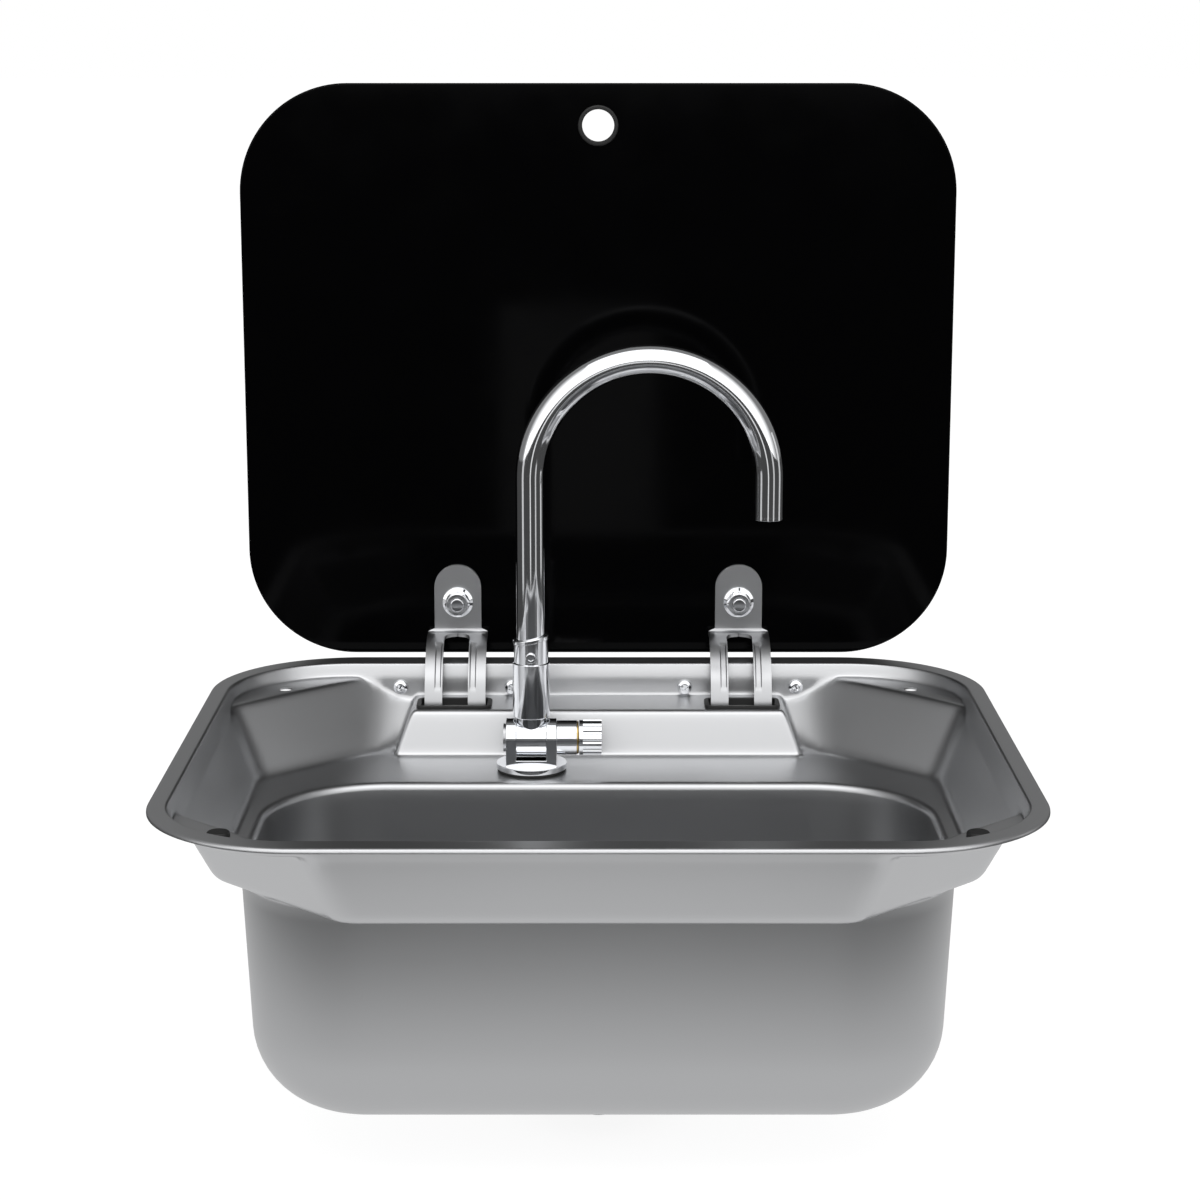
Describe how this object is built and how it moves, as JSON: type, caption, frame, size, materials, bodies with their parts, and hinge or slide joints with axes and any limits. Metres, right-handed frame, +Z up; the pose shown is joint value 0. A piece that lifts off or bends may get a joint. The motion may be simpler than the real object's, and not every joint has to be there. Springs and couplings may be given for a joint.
{
  "type": "camper sink",
  "caption": "Pressed steel camper sink with a round-cornered rim, a bowl, a hinged black glass lid and a folding gooseneck tap.",
  "frame": {"origin": "middle of the rim's outline, on the plane of the worktop that the rim rests on", "axes": "+X to the right as the user stands in front, +Y to the back where the lid is hinged, +Z up out of the worktop"},
  "size_m": [0.42, 0.389, 0.5047],
  "materials": {
    "steel_satin": "satin pressed stainless steel",
    "steel_plain": "plain rolled steel, slightly glossy",
    "chrome": "polished chrome",
    "black_glass": "toughened glass, black behind, polished edge",
    "black_rubber": "matte black rubber",
    "white_plastic": "matte white nylon",
    "grey_plastic": "matte grey moulding",
    "brass": "plain turned brass",
    "blue_plastic": "glossy blue cap"
  },
  "bodies": {
    "sink": {"sink_basin": "steel_satin", "rim_seal": "black_rubber", "lid_bumpers": "black_rubber", "slot_frames": "black_rubber", "hinge_box_left": "steel_plain", "hinge_box_right": "steel_plain", "hinge_pins": "chrome", "hinge_pin_clips": "steel_plain", "hinge_spacers": "white_plastic", "hinge_screws": "steel_plain", "hinge_screw_nuts": "steel_plain", "tap_base": "chrome", "tap_gasket": "black_rubber", "tap_backing_washer": "steel_plain", "tap_nut": "steel_plain", "tap_inlet_tail": "brass", "fold_pin": "steel_plain", "valve_cartridge": "brass", "drain_flange": "steel_plain", "drain_upper_gasket": "black_rubber", "drain_lower_gasket": "black_rubber", "drain_body": "grey_plastic", "drain_screw": "steel_plain"},
    "lid": {"glass_lid": "black_glass", "finger_ring": "black_rubber", "lid_bolts": "chrome", "lid_outer_washers": "black_rubber", "lid_bushes": "white_plastic", "lid_inner_pads": "black_rubber", "lid_nuts": "chrome", "hinge_arm_left": "steel_plain", "hinge_arm_right": "steel_plain"},
    "tap_column": {"fold_knuckle": "chrome", "fold_seals": "black_rubber", "tap_sleeve": "chrome", "tap_collar": "chrome", "sleeve_screw": "chrome", "spout_seal": "black_rubber"},
    "spout": {"spout_tube": "chrome", "spout_aerator": "chrome"},
    "knob": {"control_knob": "chrome", "knob_cap": "blue_plastic"},
    "plug": {"plug_body": "steel_plain", "plug_seal": "black_rubber", "plug_knob": "chrome"}
  },
  "joints": [
    {"name": "lid_hinge", "type": "hinge", "parent": "sink", "child": "lid", "pos_m": [0, 0.17548, -0.0218], "axis": [1, 0, 0], "range_deg": [0, 90]},
    {"name": "tap_fold", "type": "hinge", "parent": "sink", "child": "tap_column", "pos_m": [-0.036, 0.0965, -0.0218], "axis": [1, 0, 0], "range_deg": [0, 90]},
    {"name": "spout_swivel", "type": "hinge", "parent": "tap_column", "child": "spout", "pos_m": [-0.036, 0.0965, 0], "axis": [0, 0, 1], "range_deg": [-180, 0]},
    {"name": "knob_turn", "type": "hinge", "parent": "sink", "child": "knob", "pos_m": [-0.0047, 0.0965, -0.0218], "axis": [1, 0, 0], "range_deg": [0, 90]},
    {"name": "plug_lift", "type": "slide", "parent": "sink", "child": "plug", "axis": [0, 0, 1], "range_m": [0, 0.04]}
  ],
  "couplings": [
    {"joint": "tap_fold", "follows": "lid_hinge", "ratio": 1}
  ]
}
